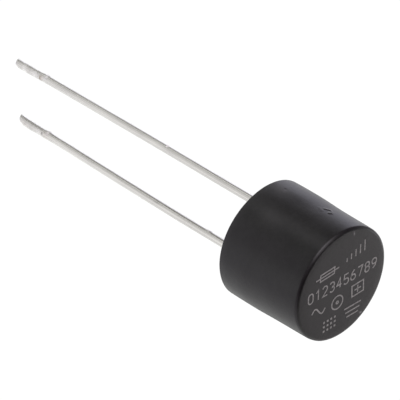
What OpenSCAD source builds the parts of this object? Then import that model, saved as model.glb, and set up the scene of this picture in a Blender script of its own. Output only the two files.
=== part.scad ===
// Sub-miniature radial lead fuse, time-lag kind.
// Origin: centre of the seating plane, midway between the two leads.
// +Z runs through the cap, the leads run down along -Z and stand on the X axis.
// All lengths in millimetres.

/* [Cap] */
// Outer diameter at the open rim
cap_rim_d = 8.5; // [8.2:0.05:9.0]
// Outer diameter at the closed end (the draft makes it smaller)
cap_end_d = 8.38; // [8.0:0.02:8.5]
// Height of the cap from its rim to its closed end
cap_h = 7.2; // [6.6:0.1:8.5]
// Thickness of the closed end
cap_roof = 0.8; // [0.6:0.05:1.2]
// Rounding of the closed end's edge
cap_edge_r = 0.22; // [0.1:0.01:0.3]
// Rounding of the open rim's edges
rim_edge_r = 0.08; // [0.04:0.01:0.12]
// Bore of the cap above the base's flange
cap_bore_d = 7.0; // [6.8:0.05:7.1]

/* [Base] */
// Height of the stand-off feet under the cap's rim
stand_off = 0.5; // [0.3:0.05:1.0]
// How far the base's underside sits inside the rim
base_recess = 0.1; // [0:0.02:0.2]
// Thickness of the base's flange
flange_t = 0.8; // [0.6:0.05:1.0]
// Height of the plug above the flange
plug_h = 0.8; // [0.7:0.05:1.2]
// Height of the collar round each lead, above the plug
collar_h = 0.7; // [0.4:0.05:1.0]
// Height of the barrier wall, above the plug
barrier_h = 1.9; // [1.0:0.1:2.0]
// Angle that each foot spans
foot_span = 56; // [40:1:70]

/* [Leads] */
// Distance between the two leads
pitch = 5.08; // [5.0:0.01:5.16]
// Diameter of the lead wire
lead_d = 0.6; // [0.5:0.01:0.64]
// Length of each lead below the seating plane
lead_len = 24.5; // [8:0.5:30]
// How much further down the left lead reaches
left_extra = 0.12; // [0:0.02:0.5]
// Length of the coined tip
tip_len = 3.2; // [2.5:0.1:4]
// Depth of the flat that the tool pressed into the tip
tip_flat = 0.06; // [0.03:0.01:0.09]
// Direction that the pressed flat faces, in degrees from +X
tip_dir = -45; // [-90:5:90]
// How far the nipped corner of the tip is cut back
cut_back = 0.6; // [0.3:0.05:0.8]

/* [Element] */
// Diameter of the insulating rod
core_d = 0.5; // [0.4:0.02:0.6]
// Length of the insulating rod
core_len = 6.2; // [5.9:0.1:6.3]
// Height of the rod's axis above the seating plane
core_z = 5.0; // [4.8:0.1:5.2]
// Diameter of the fusible wire
wire_d = 0.06; // [0.04:0.01:0.07]
// Turns of the fusible wire
wire_turns = 12; // [8:1:14]
// Largest diameter of each solder joint
solder_d = 1.24; // [1.1:0.02:1.3]

/* [Hidden] */
$fn = 96;

rim_z = stand_off;                          // plane of the cap's open rim
top_z = rim_z + cap_h;                      // plane of the closed end
base_z = rim_z + base_recess;               // underside of the base
shelf_z = base_z + flange_t;                // top of the flange, where it meets the cap's shelf
plug_z = shelf_z + plug_h;                  // top of the plug
collar_z = plug_z + collar_h;               // top of the collars, where the leads' blades start
fit_gap = 0.02;                             // radial gap between cap and base
mouth_r = cap_bore_d / 2 + 0.25;            // the cap's mouth, which takes the flange
bore_r = cap_bore_d / 2;                    // the bore at the shelf
bore_end_r = bore_r - 0.08;                 // the bore at the closed end, drafted
plug_r = bore_r - 2 * fit_gap;              // the plug
bead = 0.07;                                // how far the snap bead stands out
bead_z = shelf_z + plug_h * 0.5;            // middle of the snap bead
lead_r = lead_d / 2;
lead_x = pitch / 2;
anchor = lead_d - 0.06;                     // across the flats of the squared length in the base
blade_x = 0.36;                             // thickness of the blade at the lead's inner end
blade_y = 0.8;                              // width of that blade
wire_gap = 0.012;                           // the winding's clearance from the rod
wind_r = core_d / 2 + wire_gap + wire_d / 2;
wind_x = 2.2;                               // half the wound length
foot_in = 2.55;                             // inner radius of the feet
foot_out = 3.3;                             // outer radius of the feet

// Points on a quarter arc, for rounded edges in a turned outline
function arc(cx, cz, r, a0, a1, n = 6) =
    [for (i = [0 : n]) let (a = a0 + (a1 - a0) * i / n) [cx + r * cos(a), cz + r * sin(a)]];

// The outer radius of the cap at a height above the seating plane
function cap_r(z) = cap_rim_d / 2 - (cap_rim_d - cap_end_d) / 2 * (z - rim_z) / cap_h;

// Closed cup: drafted outside, rounded end, mouth with a shelf, snap groove
module cap() {
    er = cap_edge_r;
    rr = rim_edge_r;
    color([0.16, 0.16, 0.17])
    rotate_extrude()
        polygon(concat(
            [[0, top_z]],
            arc(cap_r(top_z - er) - er, top_z - er, er, 90, 2),
            arc(cap_r(rim_z + rr) - rr, rim_z + rr, rr, 0, -90),
            arc(mouth_r + rr, rim_z + rr, rr, -90, -180),
            [[mouth_r, shelf_z],
             [bore_r, shelf_z],
             [bore_r, bead_z - 0.16],
             [bore_r + bead - 0.02, bead_z - 0.07],
             [bore_r + bead - 0.02, bead_z + 0.07],
             [bore_r, bead_z + 0.16]],
            arc(bore_end_r - 0.3, top_z - cap_roof - 0.3, 0.3, 0, 90),
            [[0, top_z - cap_roof]]));
}

// The squared length of a lead, where the base holds it: no round wall
module anchor_shape() {
    c = anchor / 2;
    k = 0.12;
    polygon([[c, c - k], [c - k, c], [k - c, c], [-c, c - k],
             [-c, k - c], [k - c, -c], [c - k, -c], [c, k - c]]);
}

// One stand-off foot: a slice of a ring with sloped sides
module foot() {
    intersection() {
        rotate_extrude()
            polygon([[foot_in - 0.06, base_z + 0.05], [foot_in - 0.06, base_z],
                     [foot_in, 0.05], [foot_in + 0.05, 0],
                     [foot_out - 0.05, 0], [foot_out, 0.05],
                     [foot_out + 0.05, base_z], [foot_out + 0.05, base_z + 0.05]]);
        translate([0, 0, -1])
            linear_extrude(3)
                polygon([[0, 0],
                         [6 * sin(foot_span / 2), 6 * cos(foot_span / 2)], [0, 12],
                         [-6 * sin(foot_span / 2), 6 * cos(foot_span / 2)]]);
    }
}

// Plug with flange, snap bead, feet, collars and a barrier wall
module base() {
    color([0.13, 0.13, 0.14])
    difference() {
        union() {
            rotate_extrude()
                polygon([[0, base_z],
                         [mouth_r - fit_gap - 0.06, base_z],
                         [mouth_r - fit_gap, base_z + 0.06],
                         [mouth_r - fit_gap, shelf_z],
                         [plug_r, shelf_z],
                         [plug_r, bead_z - 0.14],
                         [plug_r + bead, bead_z - 0.05],
                         [plug_r + bead, bead_z + 0.05],
                         [plug_r, bead_z + 0.14],
                         [plug_r, plug_z - 0.12],
                         [plug_r - 0.12, plug_z],
                         [0, plug_z]]);
            foot();
            mirror([0, 1, 0]) foot();
            for (s = [-1, 1])
                translate([s * lead_x, 0, plug_z - 0.05])
                    cylinder(h = collar_h + 0.05, r1 = 0.78, r2 = 0.7);
            translate([-0.25, -2.5, plug_z - 0.05])
                cube([0.5, 5, barrier_h + 0.05]);
        }
        for (s = [-1, 1]) {
            // squared passage of the lead
            translate([s * lead_x, 0, base_z - 0.2])
                linear_extrude(collar_z - base_z + 0.4) anchor_shape();
            // shallow funnel where the lead comes out
            translate([s * lead_x, 0, base_z - 0.02])
                cylinder(h = 0.22, r1 = 0.62, r2 = 0.42);
        }
    }
}

// A round wire with a coined tip, a squared length in the base and a notched blade inside
module lead(below) {
    z_tip = -below;
    z_round = z_tip + tip_len;
    z_neck = base_z - 0.05;                 // the round wire ends here, just under the base
    color([0.78, 0.77, 0.74]) {
        // round wire, and the tip with its flat, its notch and its slanting cut
        difference() {
            translate([0, 0, z_tip]) cylinder(h = z_neck - z_tip, r = lead_r);
            rotate([0, 0, tip_dir]) {
                // the pressed flat, running out in a slope at its upper end
                rotate([90, 0, 0]) translate([0, 0, -1])
                    linear_extrude(2)
                        polygon([[lead_r - tip_flat * 0.8, z_tip - 0.1],
                                 [lead_r - tip_flat, z_tip + 0.9],
                                 [lead_r - tip_flat, z_round - 0.35],
                                 [lead_r + 0.01, z_round],
                                 [lead_r + 0.2, z_round],
                                 [lead_r + 0.2, z_tip - 0.1]]);
                // the notch that the tool's edge left on the other side
                rotate([90, 0, 0]) translate([0, 0, -1])
                    linear_extrude(2)
                        polygon([[-lead_r + 0.035, z_round - 0.45],
                                 [-lead_r - 0.1, z_round - 0.36],
                                 [-lead_r - 0.1, z_round - 0.58]]);
                // the nipped end: square on one side, cut back and rounded on the other
                rotate([90, 0, 0]) translate([0, 0, -1])
                    linear_extrude(2)
                        polygon([[lead_r + 0.1, z_tip - 0.2],
                                 [lead_r + 0.1, z_tip],
                                 [lead_r * 0.3, z_tip + 0.03 * cut_back],
                                 [-lead_r * 0.3, z_tip + 0.2 * cut_back],
                                 [-lead_r * 0.75, z_tip + 0.55 * cut_back],
                                 [-lead_r, z_tip + cut_back],
                                 [-lead_r - 0.1, z_tip + cut_back + 0.2],
                                 [-lead_r - 0.1, z_tip - 0.2]]);
            }
        }
        // squared length held by the base
        translate([0, 0, z_neck]) linear_extrude(collar_z - z_neck) anchor_shape();
        // blade that carries the rod in a notch
        difference() {
            translate([-blade_x / 2, -blade_y / 2, collar_z])
                cube([blade_x, blade_y, core_z - collar_z]);
            translate([-1, 0, core_z]) rotate([0, 90, 0]) cylinder(h = 2, r = core_d / 2);
        }
    }
}

module lead_right() { translate([lead_x, 0, 0]) lead(lead_len); }
module lead_left() { translate([-lead_x, 0, 0]) lead(lead_len + left_extra); }

// Insulating rod
module fuse_core() {
    color([0.93, 0.93, 0.9])
    translate([-core_len / 2, 0, core_z]) rotate([0, 90, 0]) cylinder(h = core_len, r = core_d / 2);
}

// Points along the winding, and the ring of points round each of them
wire_steps = wire_turns * 12;
wire_sides = 6;
function wind(i) =
    let (t = i / wire_steps, a = 360 * wire_turns * t)
    [-wind_x + 2 * wind_x * t, wind_r * cos(a), core_z + wind_r * sin(a)];
function ring_at(i) =
    let (a = 360 * wire_turns * i / wire_steps, c = wind(i))
    [for (k = [0 : wire_sides - 1])
        let (b = 360 * k / wire_sides, u = wire_d / 2 * cos(b), v = wire_d / 2 * sin(b))
        [c[0] + v, c[1] + u * cos(a), c[2] + u * sin(a)]];

// Fusible wire, wound round the rod
module fuse_wire() {
    n = wire_sides;
    pts = [for (i = [0 : wire_steps]) each ring_at(i)];
    side = [for (i = [0 : wire_steps - 1], k = [0 : n - 1])
        let (a = i * n + k, b = i * n + (k + 1) % n, c = a + n, d = b + n)
        each [[a, b, d], [a, d, c]]];
    color([0.8, 0.8, 0.78])
    polyhedron(points = pts,
               faces = concat(side,
                              [[for (k = [n - 1 : -1 : 0]) k]],
                              [[for (k = [0 : n - 1]) wire_steps * n + k]]));
}

// A barrel of solder round the blade, the rod and the winding's last turn
module solder() {
    r = solder_d / 2;
    color([0.7, 0.71, 0.72])
    difference() {
        translate([0, 0, core_z]) rotate([0, 90, 0])
            rotate_extrude()
                polygon([[0, -0.42], [r * 0.62, -0.42], [r * 0.86, -0.33], [r * 0.97, -0.18],
                         [r, 0], [r * 0.97, 0.18], [r * 0.86, 0.33], [r * 0.62, 0.42], [0, 0.42]]);
        // the blade
        translate([-blade_x / 2, -blade_y / 2, core_z - 2])
            cube([blade_x, blade_y, 2]);
        // the rod
        translate([-1, 0, core_z]) rotate([0, 90, 0]) cylinder(h = 2, r = core_d / 2);
        // room for the winding's last turn
        translate([-0.5, 0, core_z]) rotate([0, 90, 0])
            cylinder(h = 0.5 - blade_x / 2 - 0.04, r = wind_r + wire_d / 2 + 0.015);
    }
}

module solder_right() { translate([lead_x, 0, 0]) solder(); }
module solder_left() { mirror([1, 0, 0]) translate([lead_x, 0, 0]) solder(); }

cap();
base();
lead_right();
lead_left();
fuse_core();
fuse_wire();
solder_right();
solder_left();
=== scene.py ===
"""Looks of a small radial lead fuse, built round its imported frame. Lengths are worked in millimetres and scaled once."""
import math

import bmesh
import bpy
import numpy as np
from mathutils import Matrix, Vector, kdtree


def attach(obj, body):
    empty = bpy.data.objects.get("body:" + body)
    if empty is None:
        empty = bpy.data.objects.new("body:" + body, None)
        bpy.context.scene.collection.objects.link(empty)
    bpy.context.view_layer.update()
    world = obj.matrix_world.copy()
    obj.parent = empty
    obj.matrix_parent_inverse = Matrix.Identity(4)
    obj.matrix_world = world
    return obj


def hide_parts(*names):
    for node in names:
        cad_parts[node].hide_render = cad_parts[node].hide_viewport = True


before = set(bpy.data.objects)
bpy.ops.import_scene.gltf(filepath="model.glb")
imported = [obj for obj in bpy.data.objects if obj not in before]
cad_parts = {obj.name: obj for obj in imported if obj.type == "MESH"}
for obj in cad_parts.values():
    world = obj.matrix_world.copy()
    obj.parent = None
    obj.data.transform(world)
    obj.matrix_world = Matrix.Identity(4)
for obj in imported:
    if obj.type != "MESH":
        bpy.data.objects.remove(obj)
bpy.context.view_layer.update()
scene = bpy.context.scene
MM = 0.001

# ---------------------------------------------------------------- camera
cam_data = bpy.data.cameras.new("camera")
cam_data.sensor_width = 36.0
cam_data.lens = 296.19
cam_data.clip_start = 0.01
cam_data.clip_end = 20.0
cam = bpy.data.objects.new("camera", cam_data)
scene.collection.objects.link(cam)
CAM_AT = Vector((126.8990, 129.0729, 126.2417))
CAM_RIGHT = Vector((0.0097159, -0.7194499, 0.6944764))
CAM_UP = Vector((0.8240266, -0.3876751, -0.4131443))
CAM_BACK = Vector((0.5664678, 0.5762811, 0.5890792))
cam.matrix_world = Matrix((
    (CAM_RIGHT.x, CAM_UP.x, CAM_BACK.x, CAM_AT.x * MM),
    (CAM_RIGHT.y, CAM_UP.y, CAM_BACK.y, CAM_AT.y * MM),
    (CAM_RIGHT.z, CAM_UP.z, CAM_BACK.z, CAM_AT.z * MM),
    (0, 0, 0, 1)))
scene.camera = cam

# ---------------------------------------------------------------- sizes, as in the CAD
LEAD_X, LEAD_R = 2.54, 0.294
RIM_Z, BASE_Z, SHELF_Z, PLUG_Z, COLLAR_Z, TOP_Z = 0.5, 0.6, 1.4, 2.2, 2.9, 7.7
ROOF_Z = 6.9
CORE_Z = 5.0


def cap_radius(z):
    """Nominal outer radius of the cap, drafted. What swell() adds makes it true to the moulding."""
    return 4.238 - 0.1 * (z - RIM_Z) / 7.2


# how far the moulding swells from its nominal radius: (azimuth, mm at the rim, mm at the closed end)
SWELL = ((-180, 0.02, 0.096), (-170, 0.02, 0.103), (-160, 0.02, 0.107), (-150, 0.02, 0.097), (-135, 0.02, 0.085), (-120, 0.02, 0.083), (-105, 0.022, 0.077), (-90, 0.024, 0.075),
         (-80, 0.036, 0.076), (-70, 0.05, 0.073), (-62, 0.064, 0.068), (-53, 0.079, 0.048), (-44, 0.094, 0.040), (-35, 0.108, 0.040), (-26, 0.101, 0.040), (-17, 0.084, 0.040),
         (-12, 0.072, 0.040), (-8, 0.056, 0.040), (-4, 0.036, 0.040), (0, 0.027, 0.040), (4, 0.0285, 0.040), (10, 0.034, 0.040), (16, 0.03, 0.040), (24, 0.0275, 0.040),
         (100, 0.022, 0.040), (109, 0.028, 0.040), (118, 0.038, 0.040), (127, 0.047, 0.040), (136, 0.048, 0.042), (145, 0.04, 0.052), (155, 0.028, 0.085), (163, 0.022, 0.092),
         (172, 0.02, 0.098), (180, 0.02, 0.096))


# where the side is painted paler and a little rougher, as painted sheen: angle, height, their half widths, amount
HAZE_AND_SHEEN = ((-8.5, 1.25, 6.5, 0.75, 0.10), (-4.5, 1.7, 4, 0.5, 0.05), (-31, 1.15, 10, 0.75, 0.09), (124, 1.4, 6, 1.2, 0.18),
        (28, 2.9, 10, 1.0, 0.050))
# how far the rim's edge hangs lower: (azimuth, mm)
RIM_DROP = ((-60, 0), (-44, 0.020), (-35, 0.040), (-26, 0.060), (-17, 0.050), (-12, 0.046), (-8, 0.048), (-4, 0.056), (0, 0.054), (4, 0.042), (10, 0.020), (16, 0.009), (24, 0.002), (35, 0))


def swell(az, z):
    """Added radius: the rim is a little out of round, the wall bellies where the plug's bead pushes from inside, and it rolls off towards the closed end."""
    t = np.array(SWELL, float)
    deg = (np.degrees(az) + 180) % 360 - 180
    rim, end = np.interp(deg, t[:, 0], t[:, 1]), np.interp(deg, t[:, 0], t[:, 2])
    g = 1 - smoothstep(2.9, 5.0, z)
    one_side = np.exp(-(((deg - 136 + 180) % 360 - 180) / 40) ** 2)
    other_side = np.exp(-(((deg + 45 + 180) % 360 - 180) / 30) ** 2)
    belly = (0.013 - 0.008 * other_side) * np.exp(-((z - 2.6) / 0.9) ** 2) + 0.014 * one_side * np.exp(-((z - 3.4) / 1.1) ** 2)
    tuck = 0.014 * np.exp(-((z - RIM_Z) / 0.85) ** 2) + 0.014 * np.exp(-((z - RIM_Z) / 0.40) ** 2)
    return rim * g + end * (1 - g) + belly - tuck - 0.006 * np.clip((z - 6.85) / 0.6, 0, 1.5) ** 2


def room(az):
    """Largest radius that keeps the cap within its nominal box."""
    c, s = np.cos(az), np.abs(np.sin(az))
    away = np.abs((np.degrees(az) + 160 + 180) % 360 - 180)
    box = np.minimum(np.minimum(4.2487 / np.maximum(c, 0.01), 4.2437 / np.maximum(-c, 0.01)), 4.2474 / np.maximum(s, 0.01))
    return np.minimum(box, 4.2437 + 0.03 * smoothstep(20, 60, away) + 0.3 * smoothstep(70, 95, away))


def face_height(x, y):
    """Height of the closed end: nearly flat, rolling off just inside the edge."""
    r = np.hypot(x, y)
    return 7.694 - 0.004 * (r / 3.9) ** 2 - 0.011 * np.clip((r - 3.35) / 0.6, 0, 2) ** 2


# ---------------------------------------------------------------- mesh helpers
def smoothstep(a, b, x):
    t = np.clip((np.asarray(x, float) - a) / (b - a), 0, 1)
    return t * t * (3 - 2 * t)


def arc(cx, cz, r, a0, a1, n):
    return [(cx + r * math.cos(math.radians(a0 + (a1 - a0) * i / n)), cz + r * math.sin(math.radians(a0 + (a1 - a0) * i / n))) for i in range(n + 1)]


def ring_faces(rows, cols, start=0):
    """Quads between closed rings of cols points each."""
    i = np.arange(rows - 1)[:, None] * cols + start
    k = np.arange(cols)[None, :]
    k2 = (k + 1) % cols
    return np.stack([i + k, i + k2, i + cols + k2, i + cols + k], -1).reshape(-1, 4).tolist()


def fan_faces(centre, first, cols, flip):
    out = []
    for k in range(cols):
        a, b = first + k, first + (k + 1) % cols
        out.append((centre, b, a) if flip else (centre, a, b))
    return out


def raw_mesh(name, verts, faces):
    me = bpy.data.meshes.new(name)
    me.from_pydata([tuple(map(float, v)) for v in verts], [], faces)
    me.update()
    return me


def tidy(me, merge=1e-5):
    """Outward normals and no doubled points."""
    bm = bmesh.new()
    bm.from_mesh(me)
    if merge:
        bmesh.ops.remove_doubles(bm, verts=bm.verts, dist=merge)
    bmesh.ops.recalc_face_normals(bm, faces=bm.faces)
    bm.to_mesh(me)
    bm.free()
    me.update()
    return me


def piece(name, me, material, replaces=(), sharp=40.0, merge=1e-5):
    """A finished piece from a mesh in millimetres: scaled, shaded, riding on the part."""
    tidy(me, merge)
    me.transform(Matrix.Scale(MM, 4))
    me.name = name
    ob = bpy.data.objects.new(name, me)
    scene.collection.objects.link(ob)
    me.shade_smooth()
    me.set_sharp_from_angle(angle=math.radians(sharp))
    me.materials.clear()
    me.materials.append(material)
    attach(ob, "root")
    if replaces:
        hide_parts(*replaces)
    return ob


def combine(me_a, me_b, operation):
    """Exact boolean of two closed meshes, in millimetres."""
    a = bpy.data.objects.new("bool_a", me_a)
    b = bpy.data.objects.new("bool_b", me_b)
    scene.collection.objects.link(a)
    scene.collection.objects.link(b)
    m = a.modifiers.new("b", "BOOLEAN")
    m.operation = operation
    m.solver = "EXACT"
    m.object = b
    dg = bpy.context.evaluated_depsgraph_get()
    out = bpy.data.meshes.new_from_object(a.evaluated_get(dg))
    bpy.data.objects.remove(a)
    bpy.data.objects.remove(b)
    return out


def turned_mesh(name, outline, cols=96, centre=(0.0, 0.0)):
    """A closed turned solid. outline runs (r, z) from the axis back to the axis; only its ends touch the axis."""
    az = np.linspace(0, 2 * np.pi, cols, endpoint=False)
    verts, rows = [], outline[1:-1]
    for r, z in rows:
        verts += list(zip(centre[0] + r * np.cos(az), centre[1] + r * np.sin(az), np.full(cols, z)))
    faces = ring_faces(len(rows), cols)
    n = len(verts)
    verts += [(centre[0], centre[1], outline[0][1]), (centre[0], centre[1], outline[-1][1])]
    faces += fan_faces(n, 0, cols, True) + fan_faces(n + 1, (len(rows) - 1) * cols, cols, False)
    return tidy(raw_mesh(name, verts, faces))


def stacked_mesh(name, rings):
    """A closed solid from rings of equal point count, capped at both ends."""
    cols = len(rings[0])
    verts = [tuple(p) for ring in rings for p in ring]
    faces = ring_faces(len(rings), cols)
    n = len(verts)
    verts += [tuple(np.mean(rings[0], 0)), tuple(np.mean(rings[-1], 0))]
    faces += fan_faces(n, 0, cols, True) + fan_faces(n + 1, (len(rings) - 1) * cols, cols, False)
    return tidy(raw_mesh(name, verts, faces))


# ---------------------------------------------------------------- material helpers
def new_material(name, base, rough, metallic=0.0, ior=1.5):
    mat = bpy.data.materials.new(name)
    mat.use_nodes = True
    nt = mat.node_tree
    bsdf = nt.nodes["Principled BSDF"]
    bsdf.inputs["Base Color"].default_value = (*base, 1)
    bsdf.inputs["Roughness"].default_value = rough
    bsdf.inputs["Metallic"].default_value = metallic
    bsdf.inputs["IOR"].default_value = ior
    return mat, nt, bsdf


def node(nt, kind, **props):
    n = nt.nodes.new(kind)
    for k, v in props.items():
        setattr(n, k, v)
    return n


def coords(nt, scale=(1, 1, 1)):
    tc = node(nt, "ShaderNodeTexCoord")
    mp = node(nt, "ShaderNodeMapping")
    mp.inputs["Scale"].default_value = scale
    nt.links.new(tc.outputs["Object"], mp.inputs["Vector"])
    return mp.outputs["Vector"]


def noise(nt, vec, scale, detail=3.0, rough=0.5, distortion=0.0):
    n = node(nt, "ShaderNodeTexNoise")
    n.inputs["Scale"].default_value = scale
    n.inputs["Detail"].default_value = detail
    n.inputs["Roughness"].default_value = rough
    n.inputs["Distortion"].default_value = distortion
    nt.links.new(vec, n.inputs["Vector"])
    return n.outputs["Fac"]


def remap(nt, value, a, b, c, d, smooth=False):
    n = node(nt, "ShaderNodeMapRange")
    n.interpolation_type = "SMOOTHSTEP" if smooth else "LINEAR"
    n.inputs["From Min"].default_value = a
    n.inputs["From Max"].default_value = b
    n.inputs["To Min"].default_value = c
    n.inputs["To Max"].default_value = d
    nt.links.new(value, n.inputs["Value"])
    return n.outputs["Result"]


def math_node(nt, op, a, b=None, clamp=False):
    n = node(nt, "ShaderNodeMath", operation=op, use_clamp=clamp)
    for i, v in enumerate((a, b)):
        if v is None:
            continue
        if isinstance(v, (int, float)):
            n.inputs[i].default_value = v
        else:
            nt.links.new(v, n.inputs[i])
    return n.outputs[0]


def mix_colour(nt, fac, a, b):
    n = node(nt, "ShaderNodeMix", data_type="RGBA")
    for i, v in ((6, a), (7, b)):
        if isinstance(v, tuple):
            n.inputs[i].default_value = (*v, 1)
        else:
            nt.links.new(v, n.inputs[i])
    nt.links.new(fac, n.inputs[0])
    return n.outputs[2]


def attribute(nt, name):
    n = node(nt, "ShaderNodeAttribute", attribute_name=name)
    return n.outputs["Fac"]


def bump(nt, height, strength, distance, normal=None):
    n = node(nt, "ShaderNodeBump")
    n.inputs["Strength"].default_value = strength
    n.inputs["Distance"].default_value = distance
    nt.links.new(height, n.inputs["Height"])
    if normal is not None:
        nt.links.new(normal, n.inputs["Normal"])
    return n.outputs["Normal"]


# ---------------------------------------------------------------- materials
def plastic(name, base_a, base_b, rough_a, rough_b, grain):
    """Moulded black plastic: fine spark-eroded grain, cloudy sheen, paler where it is scuffed and where sheen and
    highlights are painted into its colour.
    """
    mat, nt, bsdf = new_material(name, base_a, rough_a)
    vec = coords(nt)
    cloud = noise(nt, vec, 420, 4, 0.55)
    fine = noise(nt, vec, 5200, 2, 0.6)
    uneven = noise(nt, vec, 2600, 3, 0.55)
    col = mix_colour(nt, remap(nt, math_node(nt, "ADD", cloud, uneven), 0.8, 1.2, 0, 1), base_a, base_b)
    # paler colour from real scuffs and specks, and from paler patches that are painted sheen and painted highlight
    scuff_and_sheen = attribute(nt, "scuff_and_sheen")
    broken = math_node(nt, "MULTIPLY", scuff_and_sheen, remap(nt, noise(nt, vec, 26000, 2, 0.6), 0.3, 0.65, 0.45, 1))
    col = mix_colour(nt, broken, col, (0.34, 0.34, 0.335))
    nt.links.new(col, bsdf.inputs["Base Color"])
    r = math_node(nt, "ADD", remap(nt, cloud, 0.25, 0.75, rough_a, rough_b), remap(nt, fine, 0.2, 0.8, -0.02, 0.02))
    r = math_node(nt, "ADD", r, math_node(nt, "MULTIPLY", scuff_and_sheen, 0.12), clamp=True)
    nt.links.new(r, bsdf.inputs["Roughness"])
    h = math_node(nt, "ADD", math_node(nt, "MULTIPLY", noise(nt, vec, 16000, 2, 0.5), 1.0), math_node(nt, "MULTIPLY", fine, 0.6))
    wavy = bump(nt, uneven, 0.25, 0.000012)
    nt.links.new(bump(nt, h, grain, 0.000012, wavy), bsdf.inputs["Normal"])
    return mat


mat_cap = plastic("cap_black_plastic", (0.0030, 0.0028, 0.0030), (0.0078, 0.0076, 0.0078), 0.34, 0.40, 0.36)
mat_base = plastic("base_black_plastic", (0.010, 0.010, 0.0105), (0.014, 0.014, 0.0145), 0.48, 0.56, 0.25)


def tinned():
    """Tinned copper wire: drawn lines along its length, dull patches, worn and mottled where the tip was coined; paler
    patches and a white speck are painted highlight, and dark grey spots are partly grime, partly painted shade.
    """
    mat, nt, bsdf = new_material("tinned_copper_wire", (0.79, 0.785, 0.745), 0.24, 1.0)
    vec = coords(nt)
    long_vec = coords(nt, (1, 1, 0.03))
    lines = noise(nt, long_vec, 9000, 3, 0.6)
    patches = noise(nt, coords(nt, (1, 1, 0.25)), 1500, 3, 0.55)
    coin, bare = attribute(nt, "coin"), attribute(nt, "bare")
    mottle = remap(nt, noise(nt, vec, 7000, 3, 0.65), 0.36, 0.60, 1, 0, True)
    col = mix_colour(nt, remap(nt, patches, 0.35, 0.7, 0, 1), (0.843, 0.841, 0.795), (0.788, 0.785, 0.744))
    col = mix_colour(nt, math_node(nt, "MULTIPLY", math_node(nt, "MULTIPLY", coin, mottle), 0.16), col, (0.50, 0.49, 0.47))
    # paler tin where the wire should look brighter: painted highlight
    col = mix_colour(nt, attribute(nt, "painted_highlight"), col, (0.98, 0.98, 0.945))
    col = mix_colour(nt, bare, col, (0.66, 0.50, 0.42))
    col = mix_colour(nt, attribute(nt, "stain"), col, (0.34, 0.275, 0.18))
    # dark grey spots: partly grime, partly painted shade, as along one notch's groove
    col = mix_colour(nt, attribute(nt, "grime_and_shade"), col, (0.22, 0.22, 0.21))
    # a small white matt speck where a glint shows on the wire: painted highlight
    painted_glint = attribute(nt, "painted_glint")
    col = mix_colour(nt, painted_glint, col, (0.90, 0.89, 0.87))
    nt.links.new(col, bsdf.inputs["Base Color"])
    nt.links.new(math_node(nt, "SUBTRACT", 1.0, painted_glint), bsdf.inputs["Metallic"])
    r = remap(nt, patches, 0.3, 0.7, 0.20, 0.29)
    r = math_node(nt, "ADD", r, math_node(nt, "MULTIPLY", coin, 0.05))
    r = math_node(nt, "ADD", r, math_node(nt, "MULTIPLY", attribute(nt, "dull"), 0.35))
    r = math_node(nt, "ADD", r, math_node(nt, "MULTIPLY", painted_glint, 0.5))
    nt.links.new(r, bsdf.inputs["Roughness"])
    n1 = bump(nt, lines, 0.11, 0.000006)
    h2 = math_node(nt, "MULTIPLY", coin, noise(nt, coords(nt, (1, 1, 0.3)), 5000, 3, 0.55))
    nt.links.new(bump(nt, h2, 0.14, 0.00002, n1), bsdf.inputs["Normal"])
    return mat


def etched():
    """Laser-etched marks: pale, patchy, matt."""
    mat, nt, bsdf = new_material("etched_grey_marks", (0.25, 0.25, 0.24), 0.6)
    vec = coords(nt)
    n = noise(nt, vec, 9000, 3, 0.6)
    nt.links.new(mix_colour(nt, remap(nt, n, 0.35, 0.65, 0, 1), (0.25, 0.25, 0.238), (0.46, 0.46, 0.438)), bsdf.inputs["Base Color"])
    nt.links.new(remap(nt, n, 0.3, 0.7, 0.55, 0.7), bsdf.inputs["Roughness"])
    nt.links.new(bump(nt, noise(nt, vec, 22000, 2, 0.6), 0.4, 0.000008), bsdf.inputs["Normal"])
    return mat


def ceramic():
    mat, nt, bsdf = new_material("unglazed_ceramic", (0.80, 0.79, 0.75), 0.7)
    vec = coords(nt)
    n = noise(nt, vec, 6000, 5, 0.6)
    nt.links.new(mix_colour(nt, remap(nt, n, 0.3, 0.7, 0, 1), (0.76, 0.75, 0.70), (0.86, 0.85, 0.81)), bsdf.inputs["Base Color"])
    nt.links.new(remap(nt, n, 0.3, 0.7, 0.62, 0.78), bsdf.inputs["Roughness"])
    nt.links.new(bump(nt, noise(nt, vec, 18000, 4, 0.6), 0.5, 0.00001), bsdf.inputs["Normal"])
    return mat


def silver_wire():
    mat, nt, bsdf = new_material("silvery_fine_wire", (0.86, 0.85, 0.82), 0.2, 1.0)
    vec = coords(nt)
    n = noise(nt, vec, 12000, 3, 0.6)
    nt.links.new(mix_colour(nt, remap(nt, n, 0.3, 0.7, 0, 1), (0.88, 0.87, 0.84), (0.72, 0.70, 0.66)), bsdf.inputs["Base Color"])
    nt.links.new(remap(nt, n, 0.3, 0.7, 0.15, 0.32), bsdf.inputs["Roughness"])
    nt.links.new(bump(nt, n, 0.3, 0.000004), bsdf.inputs["Normal"])
    return mat


def solder():
    mat, nt, bsdf = new_material("solder", (0.66, 0.66, 0.67), 0.35, 1.0)
    vec = coords(nt)
    n = noise(nt, vec, 3500, 5, 0.62)
    nt.links.new(mix_colour(nt, remap(nt, n, 0.3, 0.7, 0, 1), (0.60, 0.60, 0.61), (0.74, 0.74, 0.74)), bsdf.inputs["Base Color"])
    nt.links.new(remap(nt, n, 0.3, 0.7, 0.25, 0.5), bsdf.inputs["Roughness"])
    nt.links.new(bump(nt, n, 0.5, 0.00002), bsdf.inputs["Normal"])
    return mat


mat_wire, mat_marks, mat_ceramic, mat_fine, mat_solder = tinned(), etched(), ceramic(), silver_wire(), solder()


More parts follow.
